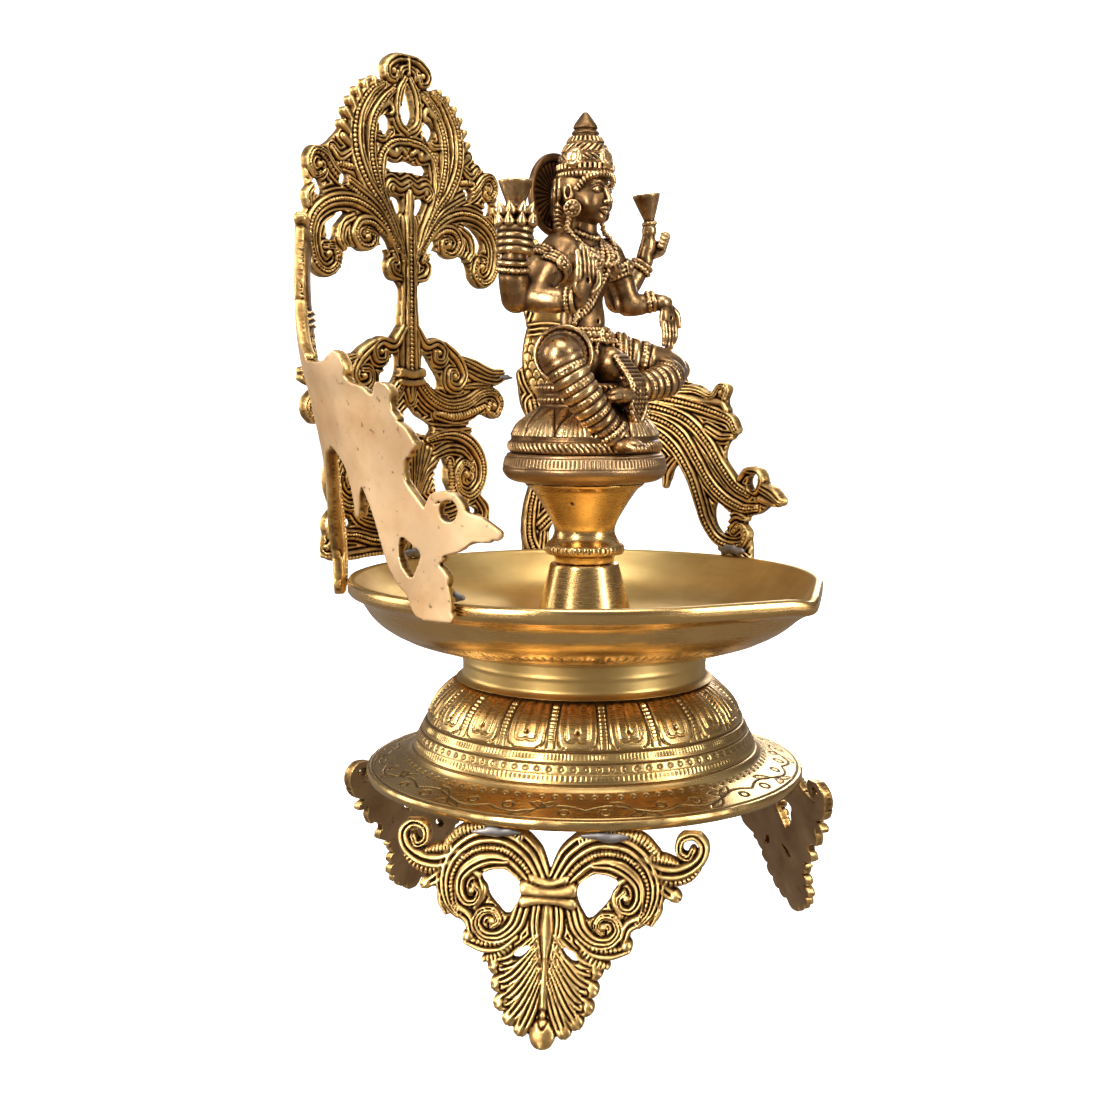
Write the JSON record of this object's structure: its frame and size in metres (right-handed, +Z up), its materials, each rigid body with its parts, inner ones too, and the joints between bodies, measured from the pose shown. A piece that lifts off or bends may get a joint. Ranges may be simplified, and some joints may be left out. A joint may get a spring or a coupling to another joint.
{
  "type": "diya oil lamp",
  "caption": "Brass prayer lamp: oil bowl with a pinched wick spout on a bell base with cast legs, a screwed stem with a seated figure, and a pierced scroll and peacock screen.",
  "frame": {"origin": "on the surface that the feet rest on, under the middle of the bounding box; the lamp's axis is 0.6 mm behind it", "axes": "+Z up along the lamp's axis, -Y towards the spout and the way the figure faces, +X to the figure's left"},
  "size_m": [0.1796, 0.1742, 0.305],
  "materials": {
    "polished_brass": "turned and polished, fine turning lines",
    "antique_brass": "cast, dark antique patina in the recesses, rubbed bright on the high points",
    "figure_brass": "cast, brown antique patina",
    "steel": "plain",
    "solder": "dull grey solder"
  },
  "bodies": {
    "base": {"leg_front_left": "antique_brass", "leg_front_right": "antique_brass", "leg_back": "antique_brass", "leg_solder_front_left_a": "solder", "leg_solder_front_left_b": "solder", "leg_solder_front_right_a": "solder", "leg_solder_front_right_b": "solder", "leg_solder_back_a": "solder", "leg_solder_back_b": "solder", "base_bell": "polished_brass", "collar_ring": "polished_brass", "bowl": "polished_brass", "socket_cone": "polished_brass", "tie_rod": "steel", "tie_washer": "steel", "tie_nut": "steel", "screen_panel": "antique_brass", "screen_wing_right": "antique_brass", "screen_wing_left": "antique_brass", "wing_solder_right": "solder", "wing_solder_left": "solder", "panel_solder_right": "solder", "panel_solder_left": "solder", "panel_solder_rim": "solder"},
    "lower_stud": {"stem_stud": "steel"},
    "stem": {"stem": "polished_brass"},
    "upper_stud": {"figure_stud": "steel"},
    "figure": {"seat_disc": "polished_brass", "seated_figure": "figure_brass", "halo": "figure_brass"}
  },
  "joints": [
    {"name": "stem_lift", "type": "slide", "parent": "base", "child": "lower_stud", "axis": [0, 0, 1], "range_m": [0, 0.01]},
    {"name": "stem_turn", "type": "hinge", "parent": "lower_stud", "child": "stem", "pos_m": [0, 0.0006, 0.1303], "axis": [0, 0, 1], "range_deg": [0, 2880]},
    {"name": "figure_lift", "type": "slide", "parent": "stem", "child": "upper_stud", "axis": [0, 0, 1], "range_m": [0, 0.01]},
    {"name": "figure_turn", "type": "hinge", "parent": "upper_stud", "child": "figure", "pos_m": [0, 0.0006, 0.1569], "axis": [0, 0, 1], "range_deg": [0, 2880]}
  ],
  "couplings": [
    {"joint": "stem_turn", "follows": "stem_lift", "rad_per_m": 5026.5},
    {"joint": "figure_turn", "follows": "figure_lift", "rad_per_m": 5026.5}
  ]
}
